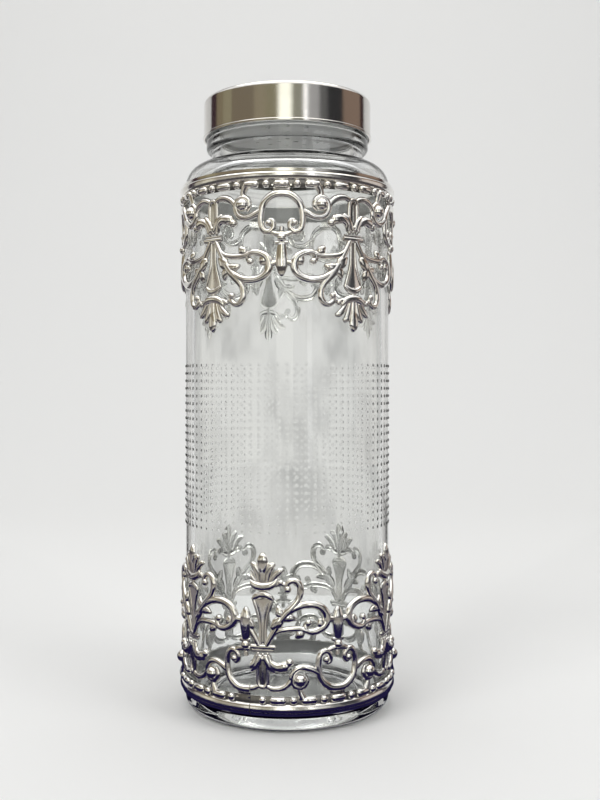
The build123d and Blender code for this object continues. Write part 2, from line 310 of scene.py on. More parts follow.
def clear_glass(colours):
    """Moulded glass: faint upright streaks in the wall, and a little unevenness."""
    material, wiring = new_material("clear_glass")
    vector, _ = wiring.place()
    streaks = wiring.noise(vector, 110.0, 2.0, 0.5, (1.0, 1.0, 0.05))
    swell = wiring.noise(vector, 45.0, 1.0, 0.4, (1.0, 1.0, 0.5))
    relief = streaks * 0.35 + swell * 0.65
    handling = wiring.noise(vector, 60.0, 3.0, 0.6)
    wiring.finish(
        Base_Color=opaque(colours.glass), Roughness=wiring.step(handling, 0.45, 0.8, 0.0, 0.03),
        IOR=1.5, Transmission_Weight=1.0, Normal=wiring.bump(relief, 0.00018))
    return material


# Heights above the strip's back between which its polish gives way to painted shade in the
# hollows, and between which the painted shade of the openwork's and of the rails' hollows gives
# way to the polish on top
BACK_SKIN = (0.00032, 0.0004)
OPENWORK_SHADE_HEIGHTS = (0.0004, 0.00075)
RAIL_SHADE_HEIGHTS = (0.0006, 0.001)


def silver_with_painted_shade(name, colours, inner_radius, tone):
    """Cast metal: polished on its back and on top of the relief, with painted shade in the
    hollows.
    """
    material, wiring = new_material(name)
    vector, (across, depth, _) = wiring.place()
    height = wiring.from_axis(across, depth) - inner_radius
    grain = wiring.noise(vector, 2600.0, 3.0, 0.6)
    tarnish = wiring.noise(vector, 90.0, 4.0, 0.55)
    # Painted shade: the colour turns dark low in the relief, where shade falls between and under
    # the strokes, but not on the strip's back
    painted_shade_mask = wiring.step(height, *BACK_SKIN) * wiring.step(
        height + (tarnish - 0.5) * 0.0002, *tone, 1.0, 0.0)
    raised = 1.0 - painted_shade_mask
    polished = wiring.mix(
        wiring.step(tarnish, 0.42, 0.7), opaque(colours.silver),
        opaque([share * tint for share, tint in zip(colours.silver, (0.93, 0.91, 0.87))]))
    colour = wiring.mix(raised, opaque(colours.silver_painted_shade), polished)
    roughness = wiring.step(raised, 0.0, 1.0, 0.35, 0.11) + (grain - 0.5) * 0.08
    wiring.finish(
        Base_Color=colour, Metallic=1.0, Roughness=roughness,
        Normal=wiring.bump(grain, 0.00002))
    return material


def brushed_steel(colours):
    """Steel sheet brushed round the axis, so reflections draw out up and down."""
    material, wiring = new_material("brushed_steel")
    vector, (across, depth, up) = wiring.place()
    radius = wiring.from_axis(across, depth)
    ring = wiring.node("CombineXYZ", {0: radius, 1: up, 2: across * 0.02})
    lines = wiring.noise(ring, 14000.0, 2.0, 0.7)
    smudge = wiring.noise(vector, 70.0, 3.0, 0.5)
    colour = wiring.mix(
        wiring.step(smudge, 0.35, 0.75), opaque(colours.steel), opaque(colours.steel, 0.94))
    wiring.finish(
        Base_Color=colour, Metallic=1.0, Roughness=wiring.step(smudge, 0.3, 0.8, 0.09, 0.15),
        Normal=wiring.bump(lines, 0.000006))
    return material


def moulded(name, colour, roughness, grain_size, translucency):
    """Moulded plastic or rubber: fine skin, slight cloudiness."""
    material, wiring = new_material(name)
    vector, _ = wiring.place()
    skin = wiring.noise(vector, 1.0 / grain_size, 3.0, 0.6)
    cloud = wiring.noise(vector, 80.0, 2.0, 0.5)
    tone = wiring.mix(cloud, opaque(colour), opaque(colour, 0.92))
    wiring.finish(
        Base_Color=tone, Roughness=wiring.step(skin, 0.2, 0.8, roughness - 0.06, roughness + 0.06),
        Subsurface_Weight=translucency, Subsurface_Radius=(0.001, 0.001, 0.001),
        Normal=wiring.bump(skin, 0.00002, 0.6))
    return material


# --- Mesh helpers ---

# Points closer than this are one, and edges that turn by more than this angle stay sharp
WELD = 1e-7
SHARP_FROM = math.radians(50)


def mesh_of(bm, name):
    """Turns the bmesh into a mesh."""
    mesh = bpy.data.meshes.new(name)
    bm.to_mesh(mesh)
    bm.free()
    return mesh


def take_in(bm, mesh):
    """Moves the mesh into the bmesh."""
    bm.from_mesh(mesh)
    bpy.data.meshes.remove(mesh)


def add_object(name, data):
    """Puts an object at the origin."""
    thing = bpy.data.objects.new(name, data)
    bpy.context.scene.collection.objects.link(thing)
    return thing


def weld(bm, distance=WELD):
    bmesh.ops.remove_doubles(bm, verts=bm.verts[:], dist=distance)


def trim(bm, place, outward):
    """Cuts off what lies past the plane and closes the cut."""
    cut = bmesh.ops.bisect_plane(
        bm, geom=bm.verts[:] + bm.edges[:] + bm.faces[:], dist=WELD, plane_co=place,
        plane_no=outward, clear_outer=True)
    edges = [item for item in cut["geom_cut"] if isinstance(item, bmesh.types.BMEdge)]
    bmesh.ops.holes_fill(bm, edges=edges, sides=0)


def finished_piece(name, bm, material, body, replaced):
    """Makes the bmesh a shaded piece and ties it to the frame."""
    mesh = mesh_of(bm, name)
    mesh.shade_smooth()
    mesh.set_sharp_from_angle(angle=SHARP_FROM)
    mesh.materials.append(material)
    piece = add_object(name, mesh)
    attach(piece, body)
    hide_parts(*replaced)


def rounded_off(bm, geom, offset, segments, affect="VERTICES"):
    """Rounds corners, or with affect "EDGES" rounds edges."""
    bmesh.ops.bevel(
        bm, geom=geom, offset=offset, offset_type="OFFSET", segments=segments, profile=0.5,
        affect=affect, material=-1)


def spun(bm, geom, angle, steps, closed=False):
    """Sweeps the geometry round the bottle's axis."""
    bmesh.ops.spin(
        bm, geom=geom, cent=(0, 0, 0), axis=(0, 0, 1), angle=angle, steps=steps,
        use_merge=closed)


def half_section(corners):
    """A flat face of (radius, height, fillet) corners, rounded by vertex bevels."""
    bm = bmesh.new()
    verts = [bm.verts.new((radius, 0.0, height)) for radius, height, _ in corners]
    bm.faces.new(verts)
    around = zip([corners[-1], *corners], corners, [*corners[1:], corners[0]])
    for vert, (before, here, after) in zip(verts, around):
        if here[2]:
            low, middle, high = (Vector(corner[:2]) for corner in (before, here, after))
            half_angle = (low - middle).angle(high - middle) / 2
            rounded_off(bm, [vert], here[2] / math.tan(half_angle), FILLET_STEPS)
    return bm


def turn(bm, steps):
    """Turns the outline of a half section round the bottle's axis."""
    bmesh.ops.delete(bm, geom=bm.faces[:], context="FACES_ONLY")
    axis = [edge for edge in bm.edges if all(abs(vert.co.x) < WELD for vert in edge.verts)]
    bmesh.ops.delete(bm, geom=axis, context="EDGES")
    spun(bm, bm.verts[:] + bm.edges[:], 2 * math.pi, steps, closed=True)
    weld(bm)
    bmesh.ops.recalc_face_normals(bm, faces=bm.faces[:])


def radius_of(point):
    return math.hypot(point.x, point.y)


# --- Glass bottle ---

BASE_HEIGHT = 0.0005
HEEL_RADIUS = 0.0043
RING_INNER = 0.0354
PUSH_UP_HEIGHT = 0.0034
PUSH_UP_RUN = 0.006
SHOULDER_TOP = 0.2243
SHOULDER_RADIUS = 0.0083
BEAD_BOTTOM = 0.2304
BEAD_TOP = 0.2354
BEAD_RADIUS = 0.0339
FINISH_RADIUS = 0.0314
RIM_FILLET = 0.0007
BEAD_ROOT_FILLET = 0.0004
THREAD_PITCH = 0.0044
THREAD_TURNS = 1.25
THREAD_DEPTH = 0.0013
THREAD_ROOT = 0.00095
THREAD_CREST = 0.00045
THREAD_DROP = 0.0021
THREAD_RUN_OUT = math.radians(14)
NUB_RING = 0.0368
NUB_RADIUS = 0.0009
# Rings of one embossed dot, from the flat one round its foot inwards: width in dot radii and
# rise in dot heights
DOME_STEPS = ((0.2, 0.0), (0.3, 0.65), (0.35, 0.35))
# Fillets of the base, neck and bead, and of the bore, shoulder and floor inside
PUSH_UP_FILLET = 0.004
RING_FILLET = 0.0008
NECK_ROOT_FILLET = 0.0012
BEAD_FILLET = 0.0014
BORE_FILLET = 0.003
INNER_SHOULDER_FILLET = 0.005
INNER_HEEL_FILLET = 0.007
FILLET_STEPS = 8
FINISH_CUTS = 34
NEAR = 1e-6


def dot_field(sizes):
    """The outer wall between two heights as a sheet of square cells, each with one low dome."""
    bm = bmesh.new()
    bmesh.ops.create_grid(bm, x_segments=sizes.dot_columns, y_segments=sizes.dot_rows, size=0.5)
    bmesh.ops.bisect_edges(bm, edges=bm.edges[:], cuts=1)
    length = 2 * math.pi * sizes.radius
    rise = sizes.dot_high - sizes.dot_low
    bmesh.ops.scale(bm, verts=bm.verts[:], vec=(length, rise, 1.0))
    poked = bmesh.ops.poke(bm, faces=bm.faces[:])
    flat_ring = DOME_STEPS[0][0]
    rounded_off(bm, poked["verts"], sizes.dot_radius * (1 + flat_ring), 1)
    feet = [face for face in bm.faces if len(face.verts) == 8]
    for inwards, up in DOME_STEPS:
        bmesh.ops.inset_individual(
            bm, faces=feet, thickness=sizes.dot_radius * inwards, depth=sizes.dot_height * up)
    for vert in bm.verts:
        angle = (vert.co.x / length + 0.5) * 2 * math.pi
        radius = sizes.radius + vert.co.z
        height = vert.co.y + (sizes.dot_low + sizes.dot_high) / 2
        vert.co = (radius * math.cos(angle), radius * math.sin(angle), height)
    return bm


def raise_thread(bm, sizes):
    """Pushes the finish wall out along a right-hand helix that fades at both ends."""
    start = sizes.height - THREAD_DROP - THREAD_TURNS * THREAD_PITCH
    for vert in bm.verts:
        radius = radius_of(vert.co)
        if abs(radius - FINISH_RADIUS) < NEAR and vert.co.z > BEAD_TOP:
            angle = math.atan2(vert.co.y, vert.co.x) % (2 * math.pi)
            push = 0.0
            for turn_number in range(2):
                along = angle + turn_number * 2 * math.pi
                left = THREAD_TURNS * 2 * math.pi - along
                fade = max(0.0, min(1.0, along / THREAD_RUN_OUT, left / THREAD_RUN_OUT))
                away = abs(vert.co.z - start - THREAD_PITCH * along / (2 * math.pi))
                slope = (THREAD_ROOT - away) / (THREAD_ROOT - THREAD_CREST)
                push = max(push, THREAD_DEPTH * fade * max(0.0, min(1.0, slope)))
            vert.co.x *= 1 + push / radius
            vert.co.y *= 1 + push / radius


class SPRINKLER_OT_glass_bottle(Operator):
    """Make the glass bottle with its embossed dots, neck thread and bearing nubs"""

    bl_idname = "sprinkler.glass_bottle"
    bl_label = "Glass Bottle"

    def execute(self, context):
        sizes = context.scene.sprinkler_bottle
        bore = sizes.neck_radius - sizes.neck_wall
        inside = sizes.radius - sizes.wall
        floor = BASE_HEIGHT + sizes.floor
        inside_top = SHOULDER_TOP - sizes.wall
        bm = half_section([
            (0.0, BASE_HEIGHT + PUSH_UP_HEIGHT, 0),
            (RING_INNER - PUSH_UP_RUN, BASE_HEIGHT + PUSH_UP_HEIGHT, PUSH_UP_FILLET),
            (RING_INNER, BASE_HEIGHT, RING_FILLET),
            (sizes.radius, BASE_HEIGHT, HEEL_RADIUS),
            (sizes.radius, sizes.dot_low, 0),
            (sizes.radius, sizes.dot_high, 0),
            (sizes.radius, SHOULDER_TOP, SHOULDER_RADIUS),
            (sizes.neck_radius, SHOULDER_TOP, NECK_ROOT_FILLET),
            (sizes.neck_radius, BEAD_BOTTOM, BEAD_ROOT_FILLET),
            (BEAD_RADIUS, BEAD_BOTTOM, BEAD_FILLET),
            (BEAD_RADIUS, BEAD_TOP, BEAD_FILLET),
            (FINISH_RADIUS, BEAD_TOP, BEAD_ROOT_FILLET),
            (FINISH_RADIUS, sizes.height, RIM_FILLET),
            (bore, sizes.height, RIM_FILLET),
            (bore, inside_top, BORE_FILLET),
            (inside, inside_top, INNER_SHOULDER_FILLET),
            (inside, floor, INNER_HEEL_FILLET),
            (0.0, floor, 0),
        ])
        finish = [
            edge for edge in bm.edges
            if all(abs(vert.co.x - FINISH_RADIUS) < WELD for vert in edge.verts)]
        bmesh.ops.bisect_edges(bm, edges=finish, cuts=FINISH_CUTS)
        turn(bm, 2 * sizes.dot_columns)
        raise_thread(bm, sizes)
        wall = [
            face for face in bm.faces
            if all(abs(radius_of(vert.co) - sizes.radius) < NEAR
                   and sizes.dot_low - NEAR < vert.co.z < sizes.dot_high + NEAR
                   for vert in face.verts)]
        bmesh.ops.delete(bm, geom=wall, context="FACES")
        take_in(bm, mesh_of(dot_field(sizes), "dot_field"))
        weld(bm, 2 * NEAR)
        for index in range(sizes.nub_count):
            angle = 2 * math.pi * index / sizes.nub_count
            middle = (NUB_RING * math.cos(angle), NUB_RING * math.sin(angle), NUB_RADIUS)
            bmesh.ops.create_uvsphere(
                bm, u_segments=10, v_segments=6, radius=NUB_RADIUS,
                matrix=Matrix.Translation(middle))
        finished_piece(
            "bottle_glass", bm, clear_glass(context.scene.sprinkler_colours), "bottle",
            ["glass_bottle"])
        return {"FINISHED"}


# --- Openwork bands ---

# The motif is drawn on half a repeat, from axis A (a palmette over a drop) to axis B (a spear
# over a ring). Points are thirtieths of that half repeat across, sixty-thirds of the strip's
# height up, and stroke widths.
COLUMNS = 30
ROWS = 63
HALF_REPEATS = 9


def on_axis(*points):
    """The points of a stroke on the motif's axis, each given by its row and share."""
    return [(0.0, *point) for point in points]


SCROLL_STROKES = {
    "under_curl": [
        (2.4, 23.0, 0.8), (3.0, 20.9, 0.9), (4.5, 19.2, 1.3), (6.6, 18.6, 1.6), (8.7, 19.2, 1.7),
        (10.2, 20.6, 1.0)],
    "tongue_frame": [
        (-0.4, 21.7, 0.8), (0.7, 21.5, 0.7), (1.6, 20.4, 0.6), (1.95, 18.0, 0.6),
        (2.0, 14.2, 0.65), (1.75, 12.2, 0.7), (0.9, 11.0, 0.75), (-0.5, 10.8, 0.75)],
    "foot_stroke": [
        (1.8, 11.2, 0.8), (3.6, 10.4, 0.95), (5.8, 10.3, 1.05), (8.0, 10.9, 1.05),
        (9.9, 12.2, 1.0), (11.5, 14.2, 0.95)],
    "rail_spiral": [
        (22.0, 16.0, 1.0), (19.2, 17.6, 1.1), (16.3, 18.5, 1.05), (13.8, 18.2, 1.0),
        (12.0, 16.8, 1.0), (11.3, 14.6, 1.0), (11.8, 12.5, 1.0), (13.4, 11.1, 1.05),
        (15.3, 11.1, 1.05), (16.8, 12.5, 1.0), (16.9, 14.4, 0.9), (15.9, 15.8, 0.7)],
    "spiral_foot": [(14.4, 11.0, 0.9), (14.6, 9.2, 1.0), (15.6, 6.8, 1.3)],
    "ring": [
        (30.0, 9.8, 1.25), (27.2, 10.1, 1.25), (24.6, 11.6, 1.2), (22.7, 14.0, 1.1),
        (21.9, 17.0, 1.05), (21.9, 20.3, 1.0), (22.7, 23.1, 1.0), (24.4, 24.3, 1.0),
        (26.2, 23.4, 0.95), (26.8, 21.5, 0.9), (26.2, 19.9, 0.85), (25.0, 20.0, 0.75)],
    "ring_bridge": [(25.4, 24.2, 0.8), (27.6, 25.1, 0.9), (30.4, 25.4, 1.0)],
    "spear_foot": [(30.4, 28.4, 0.9), (27.6, 28.5, 0.7)],
    "spear_link": [(28.7, 35.9, 0.8), (27.2, 36.1, 1.0), (25.4, 36.4, 1.2)],
    "scroll_arch": [
        (4.3, 31.0, 0.8), (6.2, 32.3, 0.9), (9.2, 33.0, 0.95), (12.4, 33.2, 0.95),
        (15.2, 33.0, 1.0), (17.6, 32.2, 1.0)],
    "leg": [
        (1.5, 26.6, 0.8), (3.0, 29.5, 0.95), (4.7, 32.4, 1.05), (6.2, 35.1, 1.15),
        (8.0, 37.6, 1.25), (10.0, 40.0, 1.3), (12.3, 42.4, 1.2), (14.0, 44.8, 1.0),
        (14.7, 47.6, 1.1), (14.1, 50.1, 1.05), (12.4, 51.4, 1.0), (10.4, 51.1, 0.95),
        (9.2, 49.6, 0.9), (9.3, 47.8, 0.8)],
    "side_scroll": [
        (9.0, 38.6, 0.9), (11.6, 40.6, 1.15), (14.6, 41.9, 1.2), (18.0, 42.3, 1.2),
        (21.4, 41.7, 1.2), (24.0, 39.9, 1.3), (25.2, 37.2, 1.3), (24.7, 34.6, 1.3),
        (22.6, 32.8, 1.2), (19.6, 31.9, 1.15), (17.2, 32.5, 1.0), (16.6, 34.2, 0.85),
        (17.4, 35.9, 0.6)],
    "palmette_cup": [(-0.6, 49.0, 1.3), (2.4, 49.3, 1.3), (4.4, 50.4, 1.1), (5.6, 52.0, 0.7)],
    "palmette_bridge": [(4.8, 49.6, 0.7), (7.0, 50.3, 0.8), (9.2, 49.8, 0.8)],
    "drop_edge": [
        (1.1, 27.4, 0.5), (1.1, 32.6, 0.5), (1.45, 36.4, 0.55), (2.3, 39.8, 0.6),
        (3.2, 42.6, 0.65), (3.8, 44.3, 0.6)],
}

LEAF_STROKES = {
    "tongue_leaf": [(0.8, 23.0, 0.9), (1.9, 20.6, 1.2), (3.2, 18.4, 1.2), (4.9, 16.6, 0.6)],
    "arch_thorn": [(15.4, 32.2, 1.2), (14.4, 31.0, 1.5), (13.2, 29.6, 0.8)],
    "leg_thorn": [(7.6, 37.0, 1.2), (6.6, 39.4, 1.5), (5.8, 42.0, 0.5)],
    "leg_spur": [(8.0, 37.0, 1.2), (10.4, 37.4, 1.5), (13.0, 36.6, 0.5)],
    "leg_sheath": [(4.0, 33.0, 1.2), (5.8, 35.4, 1.9), (7.6, 37.8, 1.3)],
    "side_scroll_tip": [(22.8, 33.4, 1.2), (22.7, 35.2, 1.4), (22.4, 36.8, 0.8)],
    "first_petal": [
        (1.4, 50.2, 0.8), (1.9, 52.6, 0.95), (2.5, 54.9, 1.15), (3.4, 56.9, 1.2),
        (4.6, 57.8, 0.8)],
    "second_petal": [
        (3.0, 50.4, 0.8), (4.2, 52.3, 1.0), (5.5, 54.0, 1.15), (6.9, 55.2, 1.1), (8.3, 55.5, 0.6)],
}

AXIS_A_PRISMS = {
    "drop": on_axis((27.0, 1.1), (32.0, 1.1), (36.3, 1.3), (40.0, 2.0), (43.0, 2.8), (44.6, 3.2)),
}

AXIS_A_PLATES = {
    "tongue": on_axis((12.0, 1.5), (14.0, 1.65), (18.0, 1.6), (20.8, 1.2)),
}

AXIS_A_LEAVES = {
    "tongue_rib": on_axis((12.6, 0.4), (16.0, 0.45), (19.6, 0.4)),
    "drop_neck": on_axis((45.0, 0.9), (47.6, 0.8), (50.4, 1.1)),
    "palmette_bud": on_axis(
        (49.4, 1.0), (52.4, 1.0), (54.4, 1.1), (56.2, 1.5), (58.0, 1.8), (59.6, 1.75),
        (61.0, 1.2), (61.8, 0.6)),
    "collar": [(-4.8, 26.1, 0.85), (0.0, 26.1, 0.85), (4.8, 26.1, 0.85)],
    "collar_foot": [(-4.2, 24.8, 0.5), (0.0, 24.8, 0.5), (4.2, 24.8, 0.5)],
    "drop_lip": [
        (-4.1, 43.8, 0.6), (-2.9, 45.2, 0.95), (0.0, 46.1, 1.1), (2.9, 45.2, 0.95),
        (4.1, 43.8, 0.6)],
}

AXIS_B_FACETS = {
    "ring_drop": on_axis((22.4, 0.8), (24.4, 0.7)),
    "spear": on_axis(
        (28.4, 1.3), (31.5, 1.7), (35.0, 2.05), (37.4, 1.95), (39.4, 1.4), (41.0, 0.55)),
}

AXIS_B_PLATES = {
    "ring_neck": on_axis((6.4, 3.7), (7.9, 2.8), (9.8, 3.3)),
}

# Round bosses at the ends of scrolls and on axis A: column, row and radius in stroke widths
SCROLL_KNOBS = [
    (14.5, 13.7, 1.15), (10.4, 20.5, 0.75), (25.0, 20.9, 0.6), (9.7, 48.2, 0.65),
    (17.7, 35.4, 0.65), (7.0, 50.7, 0.55)]
AXIS_A_KNOBS = [
    (-1.9, 23.5, 0.36), (0.0, 23.3, 0.36), (1.9, 23.5, 0.36),
    *((across, 27.3, 0.26) for across in (-2.2, -1.1, 0.0, 1.1, 2.2))]
AXIS_B_KNOBS = [(0.0, 26.6, 0.8)]


def mirrored(*left):
    """The left half of a section from foot to top, followed by its mirror image."""
    return [*left, *((-across, out) for across, out in reversed(left) if across)]


# Cross-sections of one stroke, in stroke widths: across and out from the glass
RIDGE = [
    *mirrored((-0.4, 0.02), (-0.54, 0.1), (-0.56, 0.24), (-0.48, 0.45), (-0.34, 0.62),
              (-0.17, 0.73), (0.0, 0.76)),
    (0.2, 0.11), (0.0, 0.14), (-0.2, 0.11)]
LEAF = [
    *mirrored((-0.3, 0.06), (-0.52, 0.14), (-0.53, 0.24), (-0.42, 0.5), (-0.22, 0.68),
              (0.0, 0.73)),
    (0.0, 0.0)]
FACET = [
    *mirrored((-0.34, 0.02), (-0.5, 0.07), (-0.5, 0.2), (-0.46, 0.3), (-0.34, 0.42),
              (-0.16, 0.5), (0.0, 0.54)),
    (0.0, 0.0)]
PRISM = mirrored((-0.5, 0.0), (-0.5, 0.12), (-0.42, 0.18), (0.0, 0.34))
SHEET = mirrored((-0.5, 0.0), (-0.5, 0.2), (-0.3, 0.3))
PLATE = mirrored((-0.5, 0.0), (-0.5, 0.06), (-0.46, 0.1))

CURVE_STEPS = 3
# A stroke's rounded end: how far past its last point and how wide, in that point's widths
END_REACH = 0.42
END_SHARE = 0.5
# How far a boss's middle stands out, in its own radii, and where its back is cut flat
KNOB_LIFT = 0.35
KNOB_FOOT = 0.00005


def strip_radii(scene):
    """Radius of the strip's back, and the one at which its lengths are true."""
    inner = scene.sprinkler_bottle.radius + scene.sprinkler_bands.gap
    return inner, inner + scene.sprinkler_bands.drawn_at


def bead_end(inner, outer):
    """The point that rounds a stroke off past its end."""
    away = Vector(outer[:2]) - Vector(inner[:2])
    place = Vector(outer[:2]) + away.normalized() * outer[2] * END_REACH
    return (place.x, place.y, outer[2] * END_SHARE)


def swept_strokes(strokes, section, column, row, width):
    """One mesh of all the strokes, swept with a closed section along smooth curves."""
    outline = bpy.data.curves.new("section", "CURVE")
    outline.dimensions = "2D"
    spline = outline.splines.new("POLY")
    spline.points.add(len(section) - 1)
    for point, (across, out) in zip(spline.points, section):
        point.co = (across, out, 0.0, 1.0)
    spline.use_cyclic_u = True
    pen = add_object("section", outline)
    path = bpy.data.curves.new("strokes", "CURVE")
    path.dimensions = "3D"
    path.twist_mode = "Z_UP"
    path.bevel_mode = "OBJECT"
    path.bevel_object = pen
    path.use_fill_caps = True
    path.resolution_u = CURVE_STEPS
    for points in strokes.values():
        rounded = [bead_end(points[1], points[0]), *points, bead_end(points[-2], points[-1])]
        spline = path.splines.new("BEZIER")
        spline.bezier_points.add(len(rounded) - 1)
        for point, (across, up, share) in zip(spline.bezier_points, rounded):
            point.co = (across * column, up * row, 0.0)
            point.radius = share * width
            point.handle_left_type = "AUTO"
            point.handle_right_type = "AUTO"
    drawn = add_object("strokes", path)
    graph = bpy.context.evaluated_depsgraph_get()
    mesh = bpy.data.meshes.new_from_object(drawn.evaluated_get(graph))
    for thing in (drawn, pen):
        bpy.data.objects.remove(thing)
    bpy.data.curves.remove(path)
    bpy.data.curves.remove(outline)
    return mesh


def add_copy(bm, mesh, place, turned=False):
    """Adds a copy of the mesh to the strip, moved along it and mirrored if asked."""
    copy = mesh.copy()
    if turned:
        copy.transform(Matrix.Scale(-1.0, 4, (1.0, 0.0, 0.0)))
        copy.flip_normals()
    copy.transform(Matrix.Translation((place, 0.0, 0.0)))
    take_in(bm, copy)


def bend_strip(bm, inner, true):
    """Bends the flat strip round the bottle, its own +Z pointing outwards."""
    for vert in bm.verts:
        angle = vert.co.x / true
        radius = inner + vert.co.z
        vert.co = (radius * math.sin(angle), -radius * math.cos(angle), vert.co.y)


def both_bands(scene, bm, piece, tone):
    """Puts one copy of the bent strip on each band, the upper one turned over."""
    material = silver_with_painted_shade(
        f"{piece}_silver", scene.sprinkler_colours, strip_radii(scene)[0], tone)
    bands = scene.sprinkler_bands
    lower = Matrix.Translation((0, 0, LOWER_RAIL)) @ Matrix.Rotation(bands.lower_turn, 4, "Z")
    turned_over = Matrix.Rotation(math.pi, 4, "X") @ Matrix.Rotation(bands.upper_turn, 4, "Z")
    upper = Matrix.Translation((0, 0, UPPER_RAIL)) @ turned_over
    for band, matrix in (("lower_band", lower), ("upper_band", upper)):
        copy = bm.copy()
        copy.transform(matrix)
        finished_piece(f"{band}_{piece}", copy, material, "bottle", [band])
    bm.free()


def level_relief(mesh, limit):
    """Lets tall strokes level off, so that wide ones don't stand out too far."""
    for vert in mesh.vertices:
        vert.co.z = limit * math.tanh(vert.co.z / limit)


def knobs(places, column, row, width):
    """One mesh of round bosses, each flattened where it meets the strip's back."""
    bm = bmesh.new()
    for across, up, share in places:
        radius = share * width
        middle = Matrix.Translation((across * column, up * row, radius * KNOB_LIFT))
        bmesh.ops.create_uvsphere(bm, u_segments=14, v_segments=9, radius=radius, matrix=middle)
    trim(bm, (0, 0, KNOB_FOOT), (0, 0, -1))
    return mesh_of(bm, "knobs")


class SPRINKLER_OT_openwork(Operator):
    """Make the scrolls, leaves, drops and palmettes of both bands"""

    bl_idname = "sprinkler.openwork"
    bl_label = "Openwork"

    def execute(self, context):
        bands = context.scene.sprinkler_bands
        inner, true = strip_radii(context.scene)
        half = bands.repeat / 2 * true
        column = half / COLUMNS
        row = bands.height / ROWS
        kinds = {
            "between": [
                (SCROLL_STROKES, RIDGE, bands.relief), (LEAF_STROKES, LEAF, bands.leaf_relief)],
            "axis_a": [
                (AXIS_A_PRISMS, PRISM, bands.prism_relief),
                (AXIS_A_PLATES, SHEET, bands.plate_relief),
                (AXIS_A_LEAVES, LEAF, bands.leaf_relief)],
            "axis_b": [
                (AXIS_B_FACETS, FACET, bands.facet_relief),
                (AXIS_B_PLATES, PLATE, bands.leaf_relief)],
        }
        bosses = {"between": SCROLL_KNOBS, "axis_a": AXIS_A_KNOBS, "axis_b": AXIS_B_KNOBS}
        motifs = {}
        for part, tables in kinds.items():
            motif = bmesh.new()
            take_in(motif, knobs(bosses[part], column, row, bands.stroke))
            for strokes, section, limit in tables:
                mesh = swept_strokes(strokes, section, column, row, bands.stroke)
                level_relief(mesh, limit)
                take_in(motif, mesh)
            motifs[part] = mesh_of(motif, part)
        bm = bmesh.new()
        for index in range(-1, HALF_REPEATS + 1):
            turned = index % 2 == 1
            place = (index + 1 if turned else index) * half
            add_copy(bm, motifs["between"], place, turned)
            add_copy(bm, motifs["axis_b" if turned else "axis_a"], index * half)
        add_copy(bm, motifs["axis_a"], (HALF_REPEATS + 1) * half)
        for mesh in motifs.values():
            bpy.data.meshes.remove(mesh)
        weld(bm)
        low = -bands.seam_before * true + bands.seam_gap / 2
        high = (2 * math.pi - bands.seam_before) * true - bands.seam_gap / 2
        trim(bm, (low, 0.0, 0.0), (-1.0, 0.0, 0.0))
        trim(bm, (high, 0.0, 0.0), (1.0, 0.0, 0.0))
        bend_strip(bm, inner, true)
        both_bands(context.scene, bm, "openwork", OPENWORK_SHADE_HEIGHTS)
        return {"FINISHED"}


RAIL_LOW = 0.0013
RAIL_CREST = 0.0022
RAIL_HIGH = 0.0047
RAIL_PROJECTION = 0.0013
LIP_HEIGHT = 0.0012
LIP_PROJECTION = 0.00045
LIP_SLOPE = 0.0001
STRIP_THICKNESS = 0.00075
STRIP_HEIGHT = 0.0075
STRIP_EDGE = 0.0002
PEARL_HEIGHT = 0.0061
PEARL_PAIRS = 5
# How far out from the strip's back the beads are cut flat
BEAD_FOOT = 0.0002
RAIL_STEPS = 180


def rounded_bar(low, crest, high, foot, projection, steps=10):
    """Points of a rounded moulding on a face, from its top edge over its crest to its bottom."""
    points = []
    for step in range(steps + 1):
        angle = math.pi * step / steps
        reach = high - crest if 2 * step < steps else crest - low
        points.append((foot + projection * math.sin(angle), crest + reach * math.cos(angle)))
    return points


class SPRINKLER_OT_rails(Operator):
    """Make the rounded rails, their plain lips and the bead rows that carry the openwork"""

    bl_idname = "sprinkler.rails"
    bl_label = "Rails and Bead Rows"

    def execute(self, context):
        bands = context.scene.sprinkler_bands
        inner, true = strip_radii(context.scene)
        face = inner + STRIP_THICKNESS
        gap = bands.seam_gap / 2 / true
        outline = [(inner, 0.0), (inner, STRIP_HEIGHT), (face - STRIP_EDGE, STRIP_HEIGHT),
                   (face, STRIP_HEIGHT - STRIP_EDGE)]
        outline += rounded_bar(RAIL_LOW, RAIL_CREST, RAIL_HIGH, face, RAIL_PROJECTION)
        outline += [(face + LIP_PROJECTION, LIP_HEIGHT),
                    (face + LIP_PROJECTION - LIP_SLOPE, LIP_SLOPE), (face, 0.0)]
        bm = half_section([(*corner, 0) for corner in outline])
        bm.transform(Matrix.Rotation(-math.pi / 2 - bands.seam_before + gap, 4, "Z"))
        spun(bm, bm.verts[:] + bm.edges[:] + bm.faces[:], 2 * math.pi - 2 * gap, RAIL_STEPS)
        bmesh.ops.recalc_face_normals(bm, faces=bm.faces[:])
        beads = bmesh.new()
        pitch = bands.repeat / PEARL_PAIRS / 2 * true
        reach = bands.capsule / 2
        count = int((2 * math.pi * true - bands.seam_before * true - reach) / pitch) + 1
        for index in range(count):
            place = Matrix.Translation((index * pitch, PEARL_HEIGHT, STRIP_THICKNESS))
            made = bmesh.ops.create_uvsphere(
                beads, u_segments=14, v_segments=10, radius=bands.pearl,
                matrix=place @ Matrix.Rotation(math.pi / 2, 4, "Y"))
            if index % 2 == 1:
                for vert in made["verts"]:
                    side = vert.co.x - index * pitch
                    if abs(side) > WELD:
                        vert.co.x += math.copysign(reach - bands.pearl, side)
        trim(beads, (0, 0, BEAD_FOOT), (0, 0, -1))
        bend_strip(beads, inner, true)
        take_in(bm, mesh_of(beads, "beads"))
        both_bands(context.scene, bm, "rail", RAIL_SHADE_HEIGHTS)
        return {"FINISHED"}


# --- Cap, insert, seal and adhesive ---

CAP_RIM_EDGE = 0.0002
CAP_RIM_LIFT = 0.0001
CAP_TOP_EDGE = 0.0018
CAP_STEPS = 192


